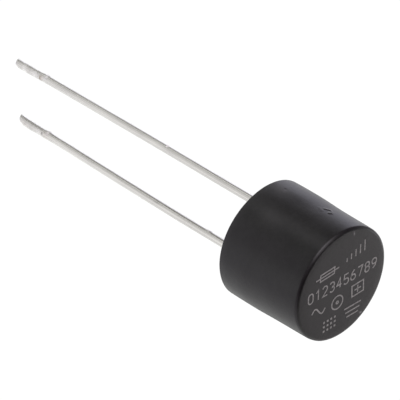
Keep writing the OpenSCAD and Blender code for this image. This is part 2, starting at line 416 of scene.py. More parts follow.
# ---------------------------------------------------------------- cap
def segment_ridge(s, t, a, b, half, height):
    """Height of a soft ridge along the line a-b in the plane (s, t)."""
    a, b = np.array(a, float), np.array(b, float)
    d = b - a
    u = np.clip(((s - a[0]) * d[0] + (t - a[1]) * d[1]) / (d @ d), 0, 1)
    dist = np.hypot(s - a[0] - u * d[0], t - a[1] - u * d[1])
    return height * (1 - smoothstep(0, half, dist))


def make_cap():
    az = np.concatenate([
        np.arange(-27, -9, 0.24), np.arange(-9, 205, 1.6), np.arange(205, 217, 0.4), np.arange(217, 332.2, 1.6)])
    az = np.radians(az)
    cols = len(az)
    rows = []                                        # (r, z, part)
    edge_r = cap_radius(7.45) - 0.22
    zt = float(face_height(edge_r, 0))
    rs = np.concatenate([np.arange(0.2, 3.39, 0.2), np.arange(3.4, edge_r - 0.02, 0.045)])
    rows += [(r, float(face_height(r, 0)), "top") for r in rs]
    rows += [(r, z, "top") for r, z in arc(edge_r, zt - 0.22, 0.22, 89.5, 1.0, 13)]
    zs = np.concatenate([np.arange(7.35, 5.7, -0.22), np.arange(5.66, 4.44, -0.035), np.arange(4.35, 1.9, -0.22), np.arange(1.84, 1.46, -0.04), np.arange(1.4, 0.66, -0.09), (0.61,)])
    rows += [(cap_radius(z), z, "side") for z in zs]
    rr = 0.06
    rows += [(r, z, "rim") for r, z in arc(cap_radius(RIM_Z + rr) - rr, RIM_Z + rr, rr, 0, -90, 6)]
    rows += [(4.0, RIM_Z, "rim")]
    rows += [(r, z, "rim") for r, z in arc(3.75 + rr, RIM_Z + rr, rr, -90, -180, 6)]
    rows += [(3.75, 0.9, "in"), (3.75, 1.36, "in"), (3.74, SHELF_Z, "in"), (3.52, SHELF_Z, "in"), (3.5, 1.42, "in"), (3.5, 1.64, "in"),
             (3.55, 1.73, "in"), (3.55, 1.87, "in"), (3.5, 1.96, "in"), (3.47, 4.0, "in"), (3.43, 6.3, "in")]
    rows += [(r, z, "in") for r, z in arc(3.12, ROOF_Z - 0.3, 0.3, 0, 90, 6)]
    rows += [(2.0, ROOF_Z, "in"), (0.8, ROOF_Z, "in")]
    R = np.array([r for r, _, _ in rows])[:, None] + 0 * az[None, :]
    Z = np.array([z for _, z, _ in rows])[:, None] + 0 * az[None, :]
    part = np.array([p for _, _, p in rows])
    A = az[None, :] + 0 * R
    side = (part == "side")[:, None] | (part == "rim")[:, None] & (R > 4.1)
    top = (part == "top")[:, None]
    # the moulding is not perfectly round or flat
    R = R + side * (0.0015 * np.sin(3 * A + 1.9 + 0.5 * Z) + 0.001 * np.sin(5 * A - 0.8 * Z))
    outer = (part != "in")[:, None]
    R = R + outer * swell(A, Z) * smoothstep(3.0, 3.95, R)
    R = np.where(outer, np.minimum(R, room(A)), R)
    drop = np.interp((np.degrees(A) + 180) % 360 - 180, *np.array(RIM_DROP, float).T)
    Z = Z - (Z < 1.0) * outer * drop * (1 - smoothstep(RIM_Z, 1.0, Z))
    X, Y = R * np.cos(A), R * np.sin(A)
    Z = Z + top * (0.0012 * np.sin(1.1 * X + 0.4) * np.cos(0.9 * Y - 0.3) - 0.0012) * (1 - smoothstep(3.6, 3.95, R))
    # the nick on the side: two raised burrs and the drag between them
    s = 4.2 * (A - np.radians(-18.1))
    s = np.where(s > 4.2 * np.pi, s - 4.2 * 2 * np.pi, s)
    t = Z - 5.0
    up = segment_ridge(s, t, (0.137, -0.15), (-0.033, 0.11), 0.19, 0.036)
    up = up + segment_ridge(s, t, (0.365, 0.46), (0.235, 0.52), 0.15, 0.044)
    up = up + segment_ridge(s, t, (0.52, -0.08), (0.40, -0.45), 0.20, 0.010)
    s2 = 4.2 * (A - np.radians(-9.6))
    up = up - segment_ridge(s2, Z - 1.66, (-0.03, -0.05), (0.05, 0.07), 0.12, 0.017)
    near = (part == "side")[:, None] & (np.abs(s) < 1.2)
    R = R + near * up
    # paler strokes round the nick: partly scraped plastic, partly painted highlight on the nick's lit lips
    scrape_and_glint = np.maximum(segment_ridge(s, t, (-0.06, -0.12), (-0.18, 0.17), 0.10, 0.42), segment_ridge(s, t, (-0.17, 0.17), (-0.05, 0.42), 0.09, 0.30))
    scrape_and_glint = scrape_and_glint + segment_ridge(s, t, (0.185, 0.225), (0.165, 0.245), 0.08, 0.50)
    scrape_and_glint = scrape_and_glint + segment_ridge(s, t, (-0.25, -0.20), (-0.36, 0.10), 0.09, 0.12)
    scuff_and_sheen = near * (0.11 * smoothstep(0.020, 0.034, up) + scrape_and_glint)
    # paler, slightly rougher patches on the side: painted sheen where the side should look brighter
    for (a0, z0, ha, hz, amount) in HAZE_AND_SHEEN:
        d = (np.degrees(A) + 180 - a0) % 360 - 180
        scuff_and_sheen = scuff_and_sheen + (part == "side")[:, None] * amount * np.exp(-(d / ha) ** 2 - ((Z - z0) / hz) ** 2)
    # a faint paler band along the rim's outer edge and the fillet: partly wear, partly painted sheen
    wob = 0.5 + 0.5 * np.sin(9 * A + 1.3) * np.sin(4 * A + 0.4)
    scuff_and_sheen = scuff_and_sheen + (part == "rim")[:, None] * (R > 4.1) * 0.05 * wob
    scuff_and_sheen = scuff_and_sheen + (part == "side")[:, None] * (0.025 + 0.025 * wob) * np.exp(-(np.maximum(Z - 0.55, 0) / 0.30) ** 2)
    X, Y = R * np.cos(A), R * np.sin(A)
    # two pale specks on the closed end
    for (px, py, ax, la, lb, amount) in ((3.59, -1.04, 12, 0.14, 0.060, 0.80), (-3.27, -1.99, 60, 0.13, 0.09, 1.0)):
        c, d = math.cos(math.radians(ax)), math.sin(math.radians(ax))
        q = ((X - px) * c + (Y - py) * d) ** 2 / la ** 2 + (-(X - px) * d + (Y - py) * c) ** 2 / lb ** 2
        m = top * np.exp(-q * 1.2)
        scuff_and_sheen = scuff_and_sheen + amount * m
        Z = Z - 0.004 * m
    verts = np.stack([X, Y, Z], -1).reshape(-1, 3)
    n = len(verts)
    faces = ring_faces(len(rows), cols)
    verts = np.vstack([verts, [[0, 0, float(face_height(0, 0)) - 0.0012], [0, 0, ROOF_Z]]])
    faces += fan_faces(n, 0, cols, True) + fan_faces(n + 1, (len(rows) - 1) * cols, cols, False)
    me = raw_mesh("cap", verts, faces)
    att = me.attributes.new("scuff_and_sheen", "FLOAT", "POINT")
    att.data.foreach_set("value", np.concatenate([np.clip(scuff_and_sheen, 0, 1).ravel(), [0, 0]]).astype(np.float32))
    return piece("cap_shell", me, mat_cap, ("cap",), 50, 0)


make_cap()


# ---------------------------------------------------------------- marks on the closed end
def ribbon(points, width, closed=False):
    """A thin strip with mitred corners along points (u, v): u reads along -Y, v points to +X. It lies on the closed end."""
    p = np.array(points, float)
    n = len(p)
    left, right = [], []
    for i in range(n):
        if closed:
            a, b = p[i] - p[i - 1], p[(i + 1) % n] - p[i]
        else:
            a = p[i] - p[i - 1] if i else p[1] - p[0]
            b = p[i + 1] - p[i] if i < n - 1 else p[-1] - p[-2]
        a, b = a / np.linalg.norm(a), b / np.linalg.norm(b)
        m = np.array([-(a + b)[1], (a + b)[0]])
        m = m / max(np.linalg.norm(m), 1e-6)
        k = 1 / max(0.5, m @ np.array([-a[1], a[0]]))
        left.append(p[i] + m * k * width / 2)
        right.append(p[i] - m * k * width / 2)
    return left, right, closed


def add_ribbon(verts, faces, strip):
    left, right, closed = strip
    n, base = len(left), len(verts)
    for l, r in zip(left, right):
        for q in (l, r):
            x, y = q[1], -q[0]
            z = float(face_height(x, y))
            verts.append((x, y, z + 0.004))
            verts.append((x, y, z - 0.006))
    for i in range(n if closed else n - 1):
        a, b = base + 4 * i, base + 4 * ((i + 1) % n)
        faces += [(a, b, b + 2, a + 2), (a + 1, a + 3, b + 3, b + 1), (a, a + 1, b + 1, b), (a + 2, b + 2, b + 3, a + 3)]
    if not closed:
        a, b = base, base + 4 * (n - 1)
        faces += [(a, a + 2, a + 3, a + 1), (b, b + 1, b + 3, b + 2)]


def circle(cu, cv, r, a0=0.0, a1=360.0, n=24):
    ts = np.radians(np.linspace(a0, a1, n + 1))
    return [(cu + r * math.cos(t), cv + r * math.sin(t)) for t in ts]


def digit(d, u, v, h):
    """One-line numerals, as on a dial. (u, v) is the lower left corner and h the height."""
    w = 0.56 * h
    r = w / 2
    c = u + r
    if d == 0:
        return [(circle(c, v + h - r, r, 0, 180, 8) + circle(c, v + r, r, 180, 360, 8), True)]
    if d == 1:
        return [([(u + 0.15 * w, v + 0.76 * h), (u + 0.6 * w, v + h), (u + 0.6 * w, v)], False)]
    if d == 2:
        return [(circle(c, v + h - r, r, 165, -35, 9) + [(u, v), (u + w, v)], False)]
    if d == 3:
        return [(circle(c, v + h - 0.27 * h, 0.27 * h, 150, -80, 9) + circle(c, v + 0.27 * h, 0.27 * h, 80, -150, 9), False)]
    if d == 4:
        return [([(u + 0.72 * w, v), (u + 0.72 * w, v + h), (u, v + 0.3 * h), (u + w, v + 0.3 * h)], False)]
    if d == 5:
        return [([(u + 0.95 * w, v + h), (u + 0.12 * w, v + h), (u + 0.06 * w, v + 0.55 * h)] + circle(c, v + r, r * 1.05, 115, -150, 11), False)]
    if d == 6:
        return [(circle(c, v + r, r, 170, -190, 14) + [(u + 0.25 * w, v + 0.75 * h), (u + 0.75 * w, v + h)], False)]
    if d == 7:
        return [([(u, v + h), (u + w, v + h), (u + 0.35 * w, v)], False)]
    if d == 8:
        return [(circle(c, v + h - 0.25 * h, 0.25 * h), True), (circle(c, v + 0.27 * h, 0.27 * h), True)]
    return [([(u + 0.25 * w, v), (u + 0.75 * w, v + 0.25 * h)] + circle(c, v + h - r, r, -10, 350, 14), False)]


def make_marks():
    w = 0.098
    lines = []                                       # (points, closed)
    # a plain fuse sign: a box with a line through it
    lines += [([(-2.05, 1.20), (-0.75, 1.28), (-0.72, 1.78), (-2.02, 1.70)], True), ([(-2.45, 1.42), (-0.30, 1.555)], False)]
    # five bars of growing height
    for i in range(5):
        lines.append(([(0.42 + 0.42 * i, 1.62 + 0.03 * i), (0.42 + 0.42 * i, 1.92 + 0.17 * i)], False))
    # a row of plain numerals over a graduated line
    for i in range(10):
        for pts, closed in digit(i, -3.12 + 0.665 * i, -0.14, 0.78):
            lines.append((pts, closed))
    # a wave, a ring with a dot, a box with a cross, three bars and a block of dots
    lines.append(([(-2.75 + 1.25 * k / 20, -1.12 + 0.30 * math.sin(2 * math.pi * k / 20)) for k in range(21)], False))
    lines.append((circle(-0.35, -1.28, 0.52, 0, 345, 23), True))
    lines.append((circle(-0.35, -1.28, 0.10, 0, 315, 7), True))
    lines.append(([(1.05, -1.55), (2.15, -1.50), (2.12, -0.62), (1.02, -0.67)], True))
    lines.append(([(1.58, -1.38), (1.58, -0.80)], False))
    lines.append(([(1.28, -1.09), (1.88, -1.09)], False))
    for i in range(3):
        lines.append(([(0.35 + 0.12 * i, -2.25 - 0.36 * i), (1.95 - 0.12 * i, -2.25 - 0.36 * i)], False))
    for i in range(4):
        for j in range(3):
            cu, cv = -1.55 + 0.34 * i, -2.35 - 0.36 * j
            lines.append(([(cu - 0.08, cv), (cu + 0.08, cv)], False))
    verts, faces = [], []
    for pts, closed in lines:
        pts = [p for i, p in enumerate(pts) if i == 0 or math.dist(p, pts[i - 1]) > 0.01]
        if closed and math.dist(pts[0], pts[-1]) < 0.01:
            pts = pts[:-1]
        dot = len(pts) == 2 and math.dist(*pts) < 0.2
        add_ribbon(verts, faces, ribbon(pts, 0.16 if dot else w, closed))
    me = raw_mesh("marks", verts, faces)
    return piece("face_marks", me, mat_marks, (), 30, 0)


make_marks()


# ---------------------------------------------------------------- base
def foot_rings(sign):
    """One stand-off foot: a bar bent round an arc, with rounded corners and edges and a flared root."""
    rho, half_l, half_w, corner = 2.925, 1.43 - 0.12, 0.375 - 0.12, 0.12
    levels = [(-0.075, 0.0), (-0.045, 0.008), (-0.02, 0.026), (-0.006, 0.05), (0.0, 0.08), (0.006, 0.30), (0.012, 0.50), (0.022, 0.55), (0.045, 0.585), (0.075, 0.602), (0.08, 0.75)]
    rings = []
    for d, z in [(-0.30, 0.0)] + levels:
        pts = []
        rc = max(corner + d, 0.004)
        hl, hw = half_l, max(half_w + min(0, corner + d), 0.02)
        for k in range(72):
            a = 2 * math.pi * (k + 0.5) / 72
            ca, sa = math.cos(a), math.sin(a)
            # rounded box: a corner circle pushed out to the corner nearest to a
            cx, cy = math.copysign(hl, ca), math.copysign(hw, sa)
            pts.append((cx + rc * ca, cy + rc * sa))
        rings.append([(sign * (rho + t) * math.sin(s / rho), sign * (rho + t) * math.cos(s / rho), z) for s, t in pts])
    return rings


def make_base():
    body = turned_mesh("base", [(0, BASE_Z), (1.2, BASE_Z), (2.4, BASE_Z), (3.2, BASE_Z), (3.60, BASE_Z), (3.655, BASE_Z + 0.006), (3.695, BASE_Z + 0.024), (3.72, BASE_Z + 0.055), (3.728, BASE_Z + 0.10),
                                (3.728, SHELF_Z - 0.04), (3.70, SHELF_Z - 0.004), (3.46, SHELF_Z), (3.46, 1.66), (3.528, 1.75), (3.528, 1.85), (3.46, 1.94), (3.46, 2.08), (3.42, 2.16), (3.34, PLUG_Z), (1.8, PLUG_Z), (0, PLUG_Z)], 160)
    for sign in (1, -1):
        body = combine(body, stacked_mesh("foot", foot_rings(sign)), "UNION")
    for s in (-1, 1):
        collar = turned_mesh("collar", [(0, 2.0), (0.80, 2.0), (0.785, PLUG_Z), (0.705, COLLAR_Z - 0.05), (0.69, COLLAR_Z - 0.015), (0.65, COLLAR_Z), (0, COLLAR_Z)], 64, (s * LEAD_X, 0))
        body = combine(body, collar, "UNION")
    wall = bmesh.new()
    bmesh.ops.create_cube(wall, size=1.0, matrix=Matrix.Translation((0, 0, 3.1)) @ Matrix.Diagonal((0.5, 5.0, 2.0, 1)))
    bmesh.ops.bevel(wall, geom=wall.edges[:], offset=0.06, segments=3, affect="EDGES", profile=0.5)
    wall_me = bpy.data.meshes.new("wall")
    wall.to_mesh(wall_me)
    wall.free()
    body = combine(body, wall_me, "UNION")
    for s in (-1, 1):
        c, k = 0.273, 0.12
        outline = [(c, c - k), (c - k, c), (k - c, c), (-c, c - k), (-c, k - c), (k - c, -c), (c - k, -c), (c, k - c)]
        rings = [[(s * LEAD_X + x, y, z) for x, y in outline] for z in (0.4, 3.2)]
        body = combine(body, stacked_mesh("passage", rings), "DIFFERENCE")
        funnel = turned_mesh("funnel", [(0, 0.5), (0.70, 0.5), (0.67, 0.585), (0.64, 0.602), (0.61, 0.63), (0.44, 0.78), (0.40, 0.80), (0, 0.80)], 64, (s * LEAD_X, 0))
        body = combine(body, funnel, "DIFFERENCE")
    # sprue recess with its broken stub, and two ejector marks
    body = combine(body, turned_mesh("recess", [(0, 0.5), (0.58, 0.5), (0.56, 0.602), (0.52, 0.66), (0.48, 0.675), (0, 0.675)], 48), "DIFFERENCE")
    stub = turned_mesh("stub", [(0, 0.70), (0.20, 0.70), (0.185, 0.66), (0.17, 0.635), (0.12, 0.622), (0.05, 0.630), (0, 0.628)], 28)
    body = combine(body, stub, "UNION")
    for y in (-1.62, 1.62):
        body = combine(body, turned_mesh("ejector", [(0, 0.5), (0.40, 0.5), (0.395, 0.600), (0.385, 0.625), (0, 0.625)], 48, (0, y)), "DIFFERENCE")
    me = body
    att = me.attributes.new("scuff_and_sheen", "FLOAT", "POINT")
    co = np.array([v.co for v in me.vertices])
    low = 0.11 * (1 - smoothstep(0.0, 0.05, co[:, 2])) + 0.25 * ((np.hypot(co[:, 0], co[:, 1]) < 0.16) & (co[:, 2] < 0.64))
    att.data.foreach_set("value", low.astype(np.float32))
    return piece("base_plug", me, mat_base, ("base",), 35, 1e-5)


make_base()


# ---------------------------------------------------------------- leads
SPIN = math.radians(-45)                             # the side of the wire that the tool pressed flat
UP_DIR = np.array([math.cos(SPIN), math.sin(SPIN)])
CAM_DIR = np.array([-math.sin(SPIN), math.cos(SPIN)])

TIPS = {
    # up and low: how far the two outlines stand out, by height; flat: depth of the pressed flat; end: the cut's outline; shape: height, amount and angle of the soft edge;
    # bump: height and amount; notch: heights at both ends, depth, width, from and to; dent: height and angle; spots: kind, height, half length, from, to, amount
    "lead_right": dict(
        x=LEAD_X, side=1, lean=(0.0, 0.0),
        up=((-25, -0.030), (-24.4, -0.026), (-24.0, -0.027), (-23.8, -0.038), (-23.6, -0.034), (-23.4, -0.025), (-22.8, -0.021), (-22.6, -0.033), (-22.4, -0.030), (-22.0, -0.017), (-21.8, -0.011), (-21.6, 0.014), (-21.4, 0.022), (-21.2, 0.024), (-20.9, 0.004), (-20, 0.0)),
        low=((-25, 0.010), (-24.2, 0.016), (-24.0, 0.030), (-23.8, 0.036), (-23.5, 0.016), (-23.2, 0.038), (-23.0, 0.046), (-22.8, 0.038), (-22.4, 0.026), (-22.0, 0.022), (-21.6, 0.018), (-21.4, 0.008), (-21.2, 0.014), (-20.8, 0.008), (-20, 0.0)),
        flat_dir=4.0, flat=((-25, 0.006), (-22.4, 0.008), (-21.8, 0.002), (-21.5, -0.02), (-20, -0.03)),
        end=((-0.32, -23.98), (-0.29, -24.08), (-0.27, -24.19), (-0.25, -24.28), (-0.205, -24.38), (-0.18, -24.43), (-0.12, -24.45), (-0.06, -24.48), (0.1, -24.50), (0.32, -24.51)),
        shape=((0, -0.009, 5), (-8, -0.009, 5), (-14, -0.006, 5), (-20, -0.003, 5), (-20.6, 0, 5), (-25, 0, 5)), bump=None,
        notch=(-21.745, -21.635, 0.006, 0.055, 50, 108), marked="stain", dent=(-8.96, -4),
        spots=(("dull", -21.17, 0.15, -100, 60, 0.9), ("dull", -23.42, 0.13, -80, 10, 0.6), ("painted_highlight", -21.22, 0.17, -60, 70, 1.0), ("painted_highlight", -22.26, 0.34, 30, 110, 0.75), ("painted_highlight", -23.38, 0.20, -40, 110, 0.65),
               ("bare", -21.58, 0.14, 40, 120, 0.22), ("painted_glint", -8.96, 0.070, -32, 18, 1.0),
               ("grime_and_shade", -24.12, 0.24, 10, 110, 0.12), ("grime_and_shade", -23.66, 0.08, 10, 110, 0.13)),
        bend=((0, 0.008), (-3, 0.005), (-4.5, 0.010), (-6, 0.020), (-7.5, 0.025), (-9, 0.028), (-10.5, 0.032), (-12, 0.031), (-13.5, 0.030), (-15, 0.024), (-16.5, 0.021), (-18, 0.018), (-19.5, 0.018), (-21, 0.011), (-22.5, 0.007), (-24.6, -0.005))),
    "lead_left": dict(
        x=-LEAD_X, side=-1, lean=(-0.0068, 0.0075),
        up=((-25, 0.015), (-24.2, 0.020), (-24.0, 0.012), (-23.8, 0.001), (-23.6, -0.011), (-23.2, -0.008), (-23.0, -0.016), (-22.6, -0.020), (-22.4, -0.014), (-22.2, -0.028), (-22.0, -0.014), (-21.8, -0.010), (-21.6, 0.020), (-21.4, 0.034), (-21.2, 0.020), (-21.0, 0.010), (-20.6, 0.0), (-20, 0.0)),
        low=((-25, 0.01), (-24.2, 0.014), (-24.0, 0.018), (-23.8, 0.042), (-23.6, 0.038), (-23.4, 0.058), (-23.2, 0.056), (-23.0, 0.050), (-22.8, 0.036), (-22.4, 0.020), (-22.2, 0.018), (-21.9, 0.030), (-21.6, 0.024), (-21.0, 0.014), (-20.6, 0.0), (-20, 0.0)),
        flat_dir=14.0, flat=((-25, 0.0), (-24.0, 0.002), (-23.4, 0.006), (-23.0, 0.008), (-22.1, 0.008), (-21.85, 0.002), (-21.6, -0.02), (-20, -0.03)),
        end=((-0.32, -23.92), (-0.28, -24.00), (-0.25, -24.12), (-0.215, -24.28), (-0.155, -24.42), (-0.06, -24.48), (0.06, -24.545), (0.17, -24.59), (0.24, -24.59), (0.32, -24.56)),
        shape=((0, 0.014, 12), (-6, 0.014, 9), (-8, 0.012, 5), (-9.4, 0.011, 3), (-9.7, 0.011, -6), (-10.0, 0.011, -6), (-10.35, 0.010, 2), (-12, 0.008, 0), (-16, 0.003, 0), (-20, 0.0, 5), (-21.6, 0.0, 12), (-22.0, 0.012, 12), (-25, 0.010, 12)), bump=(-4.88, 0.028),
        notch=(-21.97, -21.70, 0.012, 0.040, 54, 88), marked="grime_and_shade", dent=None,
        spots=(("dull", -21.37, 0.14, -100, 60, 0.9), ("dull", -24.4, 0.10, -80, 0, 0.5), ("painted_highlight", -21.38, 0.16, -50, 60, 1.0), ("painted_highlight", -22.25, 0.26, 40, 110, 0.4),
               ("grime_and_shade", -9.86, 0.24, 16, 44, 0.30), ("dull", -4.88, 0.20, -70, 20, 0.6), ("painted_highlight", -4.88, 0.20, -70, 20, 0.7),
               ("bare", -21.45, 0.40, 15, 130, 0.10), ("bare", -23.6, 0.35, 60, 130, 0.10),
               ("grime_and_shade", -6.42, 0.12, 80, 96, 0.22), ("grime_and_shade", -7.35, 0.30, 76, 88, 0.10), ("grime_and_shade", -8.26, 0.10, 80, 94, 0.18), ("grime_and_shade", -10.25, 0.11, 80, 96, 0.22),
               ("grime_and_shade", -20.93, 0.17, -8, 30, 0.14), ("grime_and_shade", -23.64, 0.10, 20, 110, 0.10), ("grime_and_shade", -23.04, 0.10, 20, 110, 0.10), ("painted_highlight", -24.05, 0.28, -30, 30, 1.0)),
        bend=((0, 0.070), (-3, 0.061), (-4.5, 0.048), (-6, 0.027), (-7.5, 0.016), (-9, 0.010), (-10.5, 0.012), (-12, 0.014), (-13.5, 0.015), (-15, 0.020), (-16.5, 0.023), (-18, 0.026), (-19.5, 0.033), (-21, 0.034), (-22.5, 0.035), (-24.6, 0.036))),
}


def table_at(table, x):
    t = np.array(table, float)
    return np.interp(x, t[:, 0], t[:, 1])


def make_lead(name):
    spec = TIPS[name]
    K = 72
    th = 2 * np.pi * np.arange(K) / K
    ct, st = np.cos(th), np.sin(th)
    rnd = np.random.default_rng(7 if spec["side"] > 0 else 11)
    line_a, line_b = (sum(rnd.normal() * np.cos(k * th + rnd.uniform(0, 6.28)) for k in range(4, 13)) / 3 for _ in range(2))

    def square(theta):
        c, s = np.abs(np.cos(theta)), np.abs(np.sin(theta))
        return np.minimum(0.27 / np.maximum(c, s), 0.42 / (c + s))

    flags = {key: [] for key in ("coin", "stain", "grime_and_shade", "bare", "dull", "painted_highlight", "painted_glint")}
    rings = []
    # the part inside the base, from the top down
    for z, mix in ((2.96, 1), (2.5, 1), (1.6, 1), (0.80, 1), (0.72, 1), (0.66, 0.75), (0.61, 0.35), (0.56, 0.0)):
        r = mix * square(th) + (1 - mix) * LEAD_R
        rings.append(np.stack([r * ct, r * st, np.full(K, z)], 1))
        for values in flags.values():
            values.append(np.zeros(K))
    z0 = -23.55
    zs = np.arange(0.45, -20.3, -0.12)
    if spec["dent"] is not None:
        zs = np.sort(np.concatenate([zs[np.abs(zs - spec["dent"][0]) > 0.2], spec["dent"][0] + np.arange(-0.2, 0.201, 0.02)]))[::-1]
    deg = (np.degrees(th) + 180) % 360 - 180
    zs = np.concatenate([zs, np.arange(-20.35, -21.2, -0.07), np.arange(-21.22, -22.3, -0.035), np.arange(-22.32, z0, -0.07)])
    ends = [(z0, 0.0, 1.0), (z0, 0.15, 1.0), (z0, 0.3, 1.0), (z0, 0.45, 1.0), (z0, 0.6, 1.0), (z0, 0.72, 1.0), (z0, 0.82, 1.0), (z0, 0.90, 1.0), (z0, 0.955, 0.995), (z0, 0.985, 0.975), (z0, 1.0, 0.93), (z0, 1.0, 0.82), (z0, 1.0, 0.62), (z0, 1.0, 0.40), (z0, 1.0, 0.2)]
    for z, t, shrink in [(z, None, 1.0) for z in zs] + ends:
        slow = math.sin(0.9 * z) * 0.5 + 0.5
        r = LEAD_R + 0.0008 * (slow * line_a + (1 - slow) * line_b)
        # drawn a little out of round: a soft edge or a soft flat along the camera's side
        edge = np.array(spec["shape"], float)[::-1]
        r = r + np.interp(z, edge[:, 0], edge[:, 1]) * np.exp(-((45 - deg - np.interp(z, edge[:, 0], edge[:, 2])) / 15.5) ** 2)
        if spec["bump"] is not None:
            r = r + spec["bump"][1] * np.exp(-((z - spec["bump"][0]) / 0.19) ** 2) * np.exp(-((deg + 30) / 38.0) ** 2)
        p = np.stack([r * ct, r * st], 1)
        a, b = p @ UP_DIR, p @ CAM_DIR
        z_here = np.full(K, float(z))
        if t is not None:
            # the outline of the cut, and how the cut leans towards the camera's side
            reach = np.sqrt(np.maximum(LEAD_R ** 2 - (a * shrink) ** 2, 0))
            z_end = np.maximum(table_at(spec["end"], a * shrink) + 0.32 * reach + 0.40 * b * shrink, -24.60)
            z_here = z0 + t * (z_end - z0)
        press = 1 - smoothstep(-21.9, -21.2, z_here)
        # both outlines, seen from the pressed side, follow the tool's shape
        a = a + np.clip(a / LEAD_R, 0, 1) ** 1.3 * table_at(spec["up"], z_here) - np.clip(-a / LEAD_R, 0, 1) ** 1.6 * table_at(spec["low"], z_here)
        b = b * (1 + 0.035 * press)
        p = a[:, None] * UP_DIR + b[:, None] * CAM_DIR
        # the flat itself
        fd = math.radians(spec["flat_dir"])
        f = np.array([math.cos(fd), math.sin(fd)])
        g = np.array([-f[1], f[0]])
        depth = table_at(spec["flat"], z_here)
        limit = LEAD_R - depth
        pf, pg = p @ f, p @ g
        over = pf - limit
        soft = 0.012
        cut = np.where(over > -soft, limit - soft + soft * np.tanh((over + soft) / soft), pf)
        cut = np.where(depth > 0, np.minimum(pf, cut), pf)
        p = cut[:, None] * f + pg[:, None] * g
        if spec["dent"] is not None:
            p = p * (1 - 0.030 / LEAD_R * np.exp(-((z_here - spec["dent"][0]) / 0.050) ** 2) * np.exp(-((deg - spec["dent"][1]) / 26.0) ** 2))[:, None]
        # the notch across the camera's side, with a small raised lip
        n0, n1, nd, nw, na, nb = spec["notch"]
        zn = n0 + (n1 - n0) * (deg - 25) / 83
        win = smoothstep(na - 8, na + 8, deg) * (1 - smoothstep(nb - 8, nb + 8, deg))
        u = (z_here - zn) / nw
        dr = -nd * np.exp(-u * u) + 0.35 * nd * np.exp(-((u - 2.0) / 0.9) ** 2) + 0.2 * nd * np.exp(-((u + 2.0) / 0.9) ** 2)
        p = p * (1 + (win * dr / LEAD_R)[:, None])
        # the coined skin is uneven
        wobble = 0.0018 * press * (np.sin(23 * z_here + 3 * th + 1) * np.sin(2 * th + 9 * z_here) + 0.6 * np.sin(41 * z_here - 5 * th))
        p = p * (1 + (wobble / LEAD_R)[:, None]) * shrink
        if t is not None and t >= 1.0:
            z_here = z_here + 0.005 * np.sin(90 * (p @ UP_DIR) + 1.0) * (shrink < 0.9)
        rings.append(np.stack([p[:, 0], p[:, 1], z_here], 1))
        here = {key: np.zeros(K) for key in flags}
        here["coin"] = press * (0.55 + 0.45 * np.sin(3 * th + 7 * z_here) ** 2)
        # the notch's groove is coloured along its bottom: a brown stain on one lead, painted shade on the other
        here[spec["marked"]] = (0.75 if spec["marked"] == "stain" else 1.0) * win * np.exp(-u * u)
        for kind, zc, hz, a0, a1, amount in spec["spots"]:
            side = min(15.0, 0.5 * (a1 - a0) + 3)
            here[kind] = np.maximum(here[kind], amount * np.exp(-((z_here - zc) / hz) ** 2) * smoothstep(a0 - side, a0 + side, deg) * (1 - smoothstep(a1 - side, a1 + side, deg)))
        if t is not None and t >= 1.0 and shrink < 0.8:
            here["bare"] = np.maximum(here["bare"], 0.6)
        for key, values in flags.items():
            values.append(here[key])
    P = np.array(rings)                              # ring, point, xyz
    zz = P[:, :, 2]
    below = np.minimum(zz - RIM_Z, 0)
    # the wire isn't quite straight
    t = np.array(spec["bend"])[::-1]
    bow = np.interp(zz, t[:, 0], t[:, 1]) * smoothstep(0.5, -0.5, zz)
    P[:, :, 0] += spec["x"] + spec["lean"][0] * below + bow * UP_DIR[0]
    P[:, :, 1] += spec["lean"][1] * below + bow * UP_DIR[1]
    verts = P.reshape(-1, 3)
    n = len(verts)
    c0, c1 = P[0].mean(0), P[-1].mean(0)
    verts = np.vstack([verts, [c0, c1]])
    faces = ring_faces(len(rings), K) + fan_faces(n, 0, K, True) + fan_faces(n + 1, (len(rings) - 1) * K, K, False)
    wire = tidy(raw_mesh(name + "_wire", verts, faces), 0)
    # attributes are put back by nearest point after the boolean, so the blade is joined first
    blade_out = [(0.40, COLLAR_Z), (0.40, CORE_Z - 0.03), (0.37, CORE_Z)]
    notch = [(0.25 * math.cos(a), CORE_Z + 0.25 * math.sin(a)) for a in np.radians(np.linspace(0, -180, 17))]
    outline = [(-0.40, COLLAR_Z)] + blade_out + notch + [(-0.37, CORE_Z), (-0.40, CORE_Z - 0.03)]
    bm = bmesh.new()
    va = [bm.verts.new((spec["x"] - 0.18, y, z)) for y, z in outline]
    vb = [bm.verts.new((spec["x"] + 0.18, y, z)) for y, z in outline]
    bm.faces.new(va)
    bm.faces.new(list(reversed(vb)))
    for i in range(len(outline)):
        j = (i + 1) % len(outline)
        bm.faces.new((va[i], vb[i], vb[j], va[j]))
    bmesh.ops.recalc_face_normals(bm, faces=bm.faces)
    blade = bpy.data.meshes.new(name + "_blade")
    bm.to_mesh(blade)
    bm.free()
    me = combine(wire, blade, "UNION")
    co = np.array([v.co for v in me.vertices])
    from_pts = verts[:n]
    tree = kdtree.KDTree(n)
    for i, q in enumerate(from_pts):
        tree.insert(q, i)
    tree.balance()
    idx = [tree.find(q)[1] for q in co]
    for key, values in flags.items():
        att = me.attributes.get(key) or me.attributes.new(key, "FLOAT", "POINT")
        att.data.foreach_set("value", np.array(values).ravel()[idx].astype(np.float32))
    return piece(name + "_wire", me, mat_wire, (name,), 40, 0)


make_lead("lead_right")
make_lead("lead_left")

# ---------------------------------------------------------------- pieces kept from the CAD
for names, mat in ((("fuse_core",), mat_ceramic), (("fuse_wire",), mat_fine), (("solder_right", "solder_left"), mat_solder),
                   (("cap",), mat_cap), (("base",), mat_base), (("lead_right", "lead_left"), mat_wire)):
    for nm in names:
        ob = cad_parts[nm]
        ob.data.materials.clear()
        ob.data.materials.append(mat)

